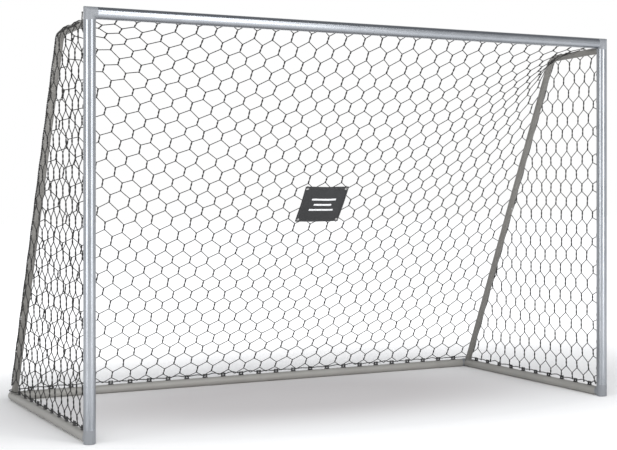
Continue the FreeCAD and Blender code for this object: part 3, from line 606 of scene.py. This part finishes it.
def cords(points, legs, steep, facing):
    """Slanted legs are one strand, steep legs two strands twisted round each other."""
    start = points[legs[:, 0]]
    end = points[legs[:, 1]]
    sizes = np.linalg.norm(end - start, axis=1)
    real = sizes > 0.003
    thin = real & ~steep
    thick = real & steep
    share = np.linspace(0, 1, 5)[None, :, None]
    single = start[thin][:, None] * (1 - share) + end[thin][:, None] * share
    single = clear_of_stays(single, CORD_RADIUS)
    share = np.linspace(-0.06, 1.06, 8)[None, :, None]
    core = start[thick][:, None] * (1 - share) + end[thick][:, None] * share
    core = clear_of_stays(core, 2 * CORD_RADIUS)
    run = core[:, -1] - core[:, 0]
    across = np.cross(run, facing)
    across /= np.linalg.norm(across, axis=1, keepdims=True)
    normal = np.cross(run, across)
    normal /= np.linalg.norm(normal, axis=1, keepdims=True)
    turn = np.linspace(0, 1, 8)[None, :, None] * 2 * math.pi + rng.uniform(0, math.pi, (len(core), 1, 1))
    offset = 0.95 * CORD_RADIUS * (across[:, None] * np.cos(turn) + normal[:, None] * np.sin(turn))
    pair = np.concatenate([core + offset, core - offset])
    slanted = tubes(single, CORD_RADIUS, CORD_SIDES, facing)
    twisted_pairs = tubes(pair, CORD_RADIUS, CORD_SIDES, facing)
    return joined(slanted, twisted_pairs)


def slackened(pull):
    """Hand-tied legs aren't all as tight as each other."""
    return pull * rng.uniform(0.82, 1.2, len(pull))


def wraps():
    """Short ends of the back net that go round the back of each stay to its outer side."""
    lift = stay_radius + CORD_RADIUS
    lines = []
    for side in (-1, 1):
        for j in range(HEXES_DOWN):
            share = (j + row_shift(0, j)) / HEXES_DOWN
            if share < 0.01:
                continue
            spot, facing = along_stay(share, 0)
            centre = np.array([side * side_x, *spot])
            away = np.array([0, *facing])
            angle = np.linspace(math.pi / 2, 0, 8)[:, None]
            slip = np.linspace(0, 1, 8)[:, None] * np.array([0, facing[1], -facing[0]]) * 0.018
            round_tube = np.cos(angle) * np.array([side, 0, 0]) + np.sin(angle) * away
            lines.append(centre + lift * round_tube + slip)
    return tubes(lines, CORD_RADIUS, CORD_SIDES, np.array([0.03, 0.6, -0.8]))


def seam_cords():
    """Cord that laces back and side nets together down the outer side of each stay."""
    meshes = []
    for side in (-1, 1):
        share = np.linspace(0.02, 0.985, 46)
        spot, _ = along_stay(share, 0)
        wander = 0.0035 * np.sin(share * 2 * math.pi * 14 + side)
        spot = spot + wander[:, None] * np.array([0.6, 0.8])
        line = np.column_stack([np.full(len(share), side * (side_x + stay_radius + 2 * CORD_RADIUS)), spot])
        line = clear_of_stays(smooth_line(line, 0.006), 2 * CORD_RADIUS)
        meshes.append(twisted(line, 2, CORD_RADIUS, LAY))
    return joined(*meshes)


def make_nets(materials):
    points, legs, steep, fixed = back_lattice()
    points = relaxed(points, legs, slackened(np.where(steep, STEEP_PULL, 1.0)), fixed)
    slope = points[len(points) // 2 + 2 * HEXES_ACROSS + 1] - points[len(points) // 2]
    facing = np.cross((1, 0, 0), slope / np.linalg.norm(slope))
    across = (points[legs[:, 0], 0] + points[legs[:, 1], 0]) / 2
    for name, share in (("left", across < 0), ("right", across >= 0)):
        mesh = cords(points, legs[share], steep[share], facing)
        replaced = ("back_net",) if name == "left" else ()
        piece(f"back_net_{name}_half", *mesh, materials["net_cord"], "net_cord", replaced)
    for name, side in (("left", -1), ("right", 1)):
        side_points, side_legs, side_steep, side_fixed = side_lattice(side)
        pull = slackened(np.where(side_steep, STEEP_PULL, 1.0))
        side_points = relaxed(side_points, side_legs, pull, side_fixed)
        mesh = cords(side_points, side_legs, side_steep, np.array([1.0, 0.02, 0.03]))
        piece(f"{name}_net_mesh", *mesh, materials["net_cord"], "net_cord", (f"{name}_net",))
    piece("stay_wraps", *wraps(), materials["net_cord"], "net_cord")
    piece("stay_seams", *seam_cords(), materials["net_cord"], "net_cord")


# ---------------------------------------------------------------- border ropes

def chained(fixed_points, lift, low, high):
    """Points through each clip, with the rope pulled off the bar by the net between them."""
    out = [fixed_points[0]]
    for before, after in zip(fixed_points, fixed_points[1:]):
        pulled = (before + after) / 2 + lift * rng.uniform(low, high)
        drift = (after - before) * rng.uniform(-0.12, 0.12)
        out += [pulled + drift, after]
    return out


def spaced(low, high, count, make):
    return [np.array(make(value)) for value in np.linspace(low, high, count)]


def make_ropes(materials):
    """Ropes that run from clip to clip, and round the outer side of the stays where they meet them."""
    inset = 0.013                  # from the end of a row of clips to the middle of its last clip
    x = side_x + ROPE_BESIDE
    wide = side_x + stay_radius + ROPE_RADIUS + 0.0035
    back_y = rear_y + ROPE_BESIDE
    up = np.array([0, 0, 1.0])
    clip_low, clip_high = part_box("left_net_clips")
    stay_foot_y = AXIS[-1][0]
    left = spaced(clip_low.y + inset, clip_high.y - inset, 10, lambda y: (-x, y, rope_base_z))
    left = [np.array([-x, rope_low_y + 0.004, rope_base_z + 0.004])] + left
    corner = [
        np.array([-x, stay_foot_y - 0.09, rope_base_z]),
        np.array([-wide, stay_foot_y - 0.04, rope_base_z]),
        np.array([-wide, back_y - 0.025, rope_base_z]),
        np.array([-side_x + 0.01, back_y, rope_base_z]),
    ]
    mirror = np.array([-1, 1, 1.0])
    clip_low, clip_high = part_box("rear_net_clips")
    rear = spaced(clip_low.x + inset, clip_high.x - inset, 25, lambda v: (v, back_y, rope_base_z))
    path = chained(left, up, 0.003, 0.013) + corner + chained(rear, up, 0.002, 0.011)
    path += [point * mirror for point in corner[::-1]]
    path += chained([point * mirror for point in left[::-1]], up, 0.003, 0.015)
    line = smooth_line(path, CURVE_STEP)
    rope = twisted(line, 3, ROPE_STRAND, LAY)
    piece("base_border_rope", *rope, materials["border_rope"], "border_rope", ("base_rope",))

    clip_low, clip_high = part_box("left_post_clips")
    inward = np.array([0, 1.0, 0])
    wide = side_x + stay_radius + ROPE_RADIUS + 0.0008
    left = spaced(clip_low.z + inset, clip_high.z - inset, 12, lambda z: (-x, rope_low_y, z))
    left = [np.array([-x, rope_low_y, rope_base_z + 0.02])] + left
    corner = [
        np.array([-x, rope_low_y, STAY_HEIGHT - 0.075]),
        np.array([-wide, rope_low_y, STAY_HEIGHT - 0.035]),
        np.array([-wide, rope_low_y, rope_top_z - 0.012]),
        np.array([-wide + 0.014, rope_low_y, rope_top_z]),
    ]
    clip_low, clip_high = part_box("crossbar_clips")
    bar = spaced(clip_low.x + inset, clip_high.x - inset, 25, lambda v: (v, rope_low_y, rope_top_z))
    path = chained(left, inward, 0.001, 0.006) + corner + chained(bar, inward, 0.001, 0.006)
    path += [point * mirror for point in corner[::-1]]
    path += chained([point * mirror for point in left[::-1]], inward, 0.001, 0.006)
    line = smooth_line(path, CURVE_STEP)
    rope = twisted(line, 3, ROPE_STRAND, LAY)
    piece("mouth_border_rope", *rope, materials["border_rope"], "border_rope", ("mouth_rope",))


# ---------------------------------------------------------------- button springs


def make_springs():
    """Each button spring, whose front leaf goes in with its button and whose rear leaf stays on the stay's
    wall, copied whole into an object of its own in place of the imported one.
    """
    for name in ("left", "right"):
        node = f"{name}_button_spring"
        spring = bpy.data.objects.new(f"{name}_leaf_spring", frame["nodes"][node].data.copy())
        scene.collection.objects.link(spring)
        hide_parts(node)
        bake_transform(spring)


# ---------------------------------------------------------------- banner

BANNER_WIDTH = 0.270
BANNER_HEIGHT = 0.238
BANNER_THICK = 0.0012
HEM = 0.011
EYELET_INSET = 0.014
HALF_WIDTH = BANNER_WIDTH / 2 - 0.0004      # hem's edge, a hair inside the cloth's
HALF_HEIGHT = BANNER_HEIGHT / 2 - 0.0004
HEM_START = 0.026              # from the corner to the end of a hem, past the eyelet
STITCH = 0.002                 # half a stitch's length
HOLE_SIDES = 24


def banner_frame():
    """Centre, across, up the slope and towards the mouth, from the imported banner's box."""
    low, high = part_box("banner")
    centre = np.array((low + high) / 2)
    rise = math.atan2(high.z - low.z, high.y - low.y)
    up = np.array([0, -math.cos(rise), math.sin(rise)])
    return centre, np.array([1.0, 0, 0]), up, np.cross((1.0, 0, 0), up)


def on_banner(flat):
    """Bends flat points (across, up, towards the mouth) to the banner's shallow billow and its place."""
    centre, across, up, front = banner_frame()
    flat = np.asarray(flat, float)
    u = flat[:, 0] / (BANNER_WIDTH / 2 - EYELET_INSET)
    v = flat[:, 1] / (BANNER_HEIGHT / 2 - EYELET_INSET)
    billow = 0.0035 * (np.cos(u * math.pi / 2) + np.cos(v * math.pi / 2)) * np.cos(1.2 * u * v)
    billow += 0.0008 * np.sin(5 * u + 2 * v) * np.clip(1 - (u * v) ** 2, 0, 1)
    offset = flat[:, 2] - BANNER_THICK / 2 + billow
    return centre + flat[:, :1] * across + flat[:, 1:2] * up + offset[:, None] * front


def slab(outline_rows, low, high):
    """Closed sheet from a grid of (x, y) points, between two heights."""
    rows = len(outline_rows)
    columns = len(outline_rows[0])
    flat = np.array([point for row in outline_rows for point in row])
    top = np.column_stack([flat, np.full(len(flat), high)])
    base = np.column_stack([flat, np.full(len(flat), low)])
    count = len(flat)
    faces = []
    for r in range(rows - 1):
        for c in range(columns - 1):
            quad = (r * columns + c, r * columns + c + 1, (r + 1) * columns + c + 1, (r + 1) * columns + c)
            faces.append(quad)
            faces.append(tuple(count + v for v in reversed(quad)))
    rim = list(range(columns)) + [r * columns + columns - 1 for r in range(1, rows)]
    rim += [(rows - 1) * columns + c for c in reversed(range(columns - 1))]
    rim += [r * columns for r in reversed(range(1, rows - 1))]
    for a, b in zip(rim, rim[1:] + rim[:1]):
        faces.append((b, a, count + a, count + b))
    return np.vstack([top, base]), faces


def bar(start, end, width, low, high):
    """Straight stripe from start to end."""
    start, end = np.array(start), np.array(end)
    run = (end - start) / np.linalg.norm(end - start)
    side = np.array([-run[1], run[0]]) * width / 2
    along = np.linspace(0, 1, 33)
    rows = [[start + (end - start) * t + side * w for t in along] for w in (-1, -0.5, 0, 0.5, 1)]
    return slab(rows, low, high)


def punch_eyelet_holes(banner):
    centre, across, up, front = banner_frame()
    angle = np.arange(HOLE_SIDES) * 2 * math.pi / HOLE_SIDES
    rim = 0.0049 * (np.cos(angle)[:, None] * across + np.sin(angle)[:, None] * up)
    faces = [tuple(reversed(range(HOLE_SIDES))), tuple(range(HOLE_SIDES, 2 * HOLE_SIDES))]
    for k in range(HOLE_SIDES):
        nxt = (k + 1) % HOLE_SIDES
        faces.append((k, nxt, HOLE_SIDES + nxt, HOLE_SIDES + k))
    for sx in (-1, 1):
        for sy in (-1, 1):
            from_middle = sx * (BANNER_WIDTH / 2 - EYELET_INSET) * across
            from_middle = from_middle + sy * (BANNER_HEIGHT / 2 - EYELET_INSET) * up
            disc = centre + from_middle + rim
            mesh = bpy.data.meshes.new("hole")
            mesh.from_pydata(np.vstack([disc - 0.01 * front, disc + 0.01 * front]).tolist(), [], faces)
            tool = bpy.data.objects.new("hole", mesh)
            scene.collection.objects.link(tool)
            hole = banner.modifiers.new("hole", "BOOLEAN")
            hole.operation = "DIFFERENCE"
            hole.object = tool
            bpy.context.view_layer.objects.active = banner
            bpy.ops.object.modifier_apply(modifier="hole")
            bpy.data.objects.remove(tool)


def hem_strips():
    """Folded edges on both faces, between the eyelets."""
    strips = []
    along = np.linspace(-HALF_WIDTH + HEM_START, HALF_WIDTH - HEM_START, 33)
    upright = np.linspace(-HALF_HEIGHT + HEM_START, HALF_HEIGHT - HEM_START, 29)
    for low, high in ((BANNER_THICK, BANNER_THICK + 0.0007), (-0.0007, 0)):
        for sign in (-1, 1):
            insets = (0, HEM) if sign < 0 else (HEM, 0)
            level_rows = [[(x, sign * (HALF_HEIGHT - inset)) for x in along] for inset in insets]
            upright_rows = [[(sign * (HALF_WIDTH - inset), y) for inset in insets] for y in upright]
            strips.append(slab(level_rows, low, high))
            strips.append(slab(upright_rows, low, high))
    return joined(*strips)


def stitch_lines():
    """One short arched thread for each stitch, round the inner edge of the hem."""
    level = BANNER_THICK + 0.0009
    steps = ((0, 0), (STITCH, 0.0002), (2 * STITCH, 0))
    lines = []
    for sign in (-1, 1):
        y = sign * (HALF_HEIGHT - HEM + 0.002)
        for x in np.arange(-HALF_WIDTH + 0.03, HALF_WIDTH - 0.03, 3 * STITCH):
            lines.append([(x + step, y, level + arch) for step, arch in steps])
        x = sign * (HALF_WIDTH - HEM + 0.002)
        for y in np.arange(-HALF_HEIGHT + 0.03, HALF_HEIGHT - 0.03, 3 * STITCH):
            lines.append([(x, y + step, level + arch) for step, arch in steps])
    return tubes(lines, 0.00035, 5, np.array([0, 0, 1.0]))


def printed_stripes():
    """Three plain stripes, the middle one shorter."""
    low, high = BANNER_THICK + 0.0002, BANNER_THICK + 0.0006
    stripes = []
    for height, reach in ((0.035, 0.075), (0, 0.055), (-0.035, 0.075)):
        stripes.append(bar((-reach, height), (reach, height), 0.012, low, high))
    return joined(*stripes)


def make_banner(materials):
    fabric = materials["banner_fabric"]
    grid = [[(x, y) for x in np.linspace(-0.5, 0.5, 41) * BANNER_WIDTH]
            for y in np.linspace(-0.5, 0.5, 37) * BANNER_HEIGHT]
    points, faces = slab(grid, 0, BANNER_THICK)
    banner = piece("net_banner", on_banner(points), faces, fabric, "banner_fabric", ("banner",))
    punch_eyelet_holes(banner)
    points, faces = hem_strips()
    hem = piece("banner_hem", on_banner(points), faces, fabric, "banner_fabric")
    points, faces = stitch_lines()
    sewing = piece("banner_stitches", on_banner(points), faces, materials["banner_thread"], "banner_fabric")
    points, faces = printed_stripes()
    stripes = piece("banner_print", on_banner(points), faces, materials["banner_print"], "banner_fabric")


make_camera()
make_studio()
make_floor()
materials = make_materials()
dress_frame(materials)
make_nets(materials)
make_ropes(materials)
make_springs()
make_banner(materials)
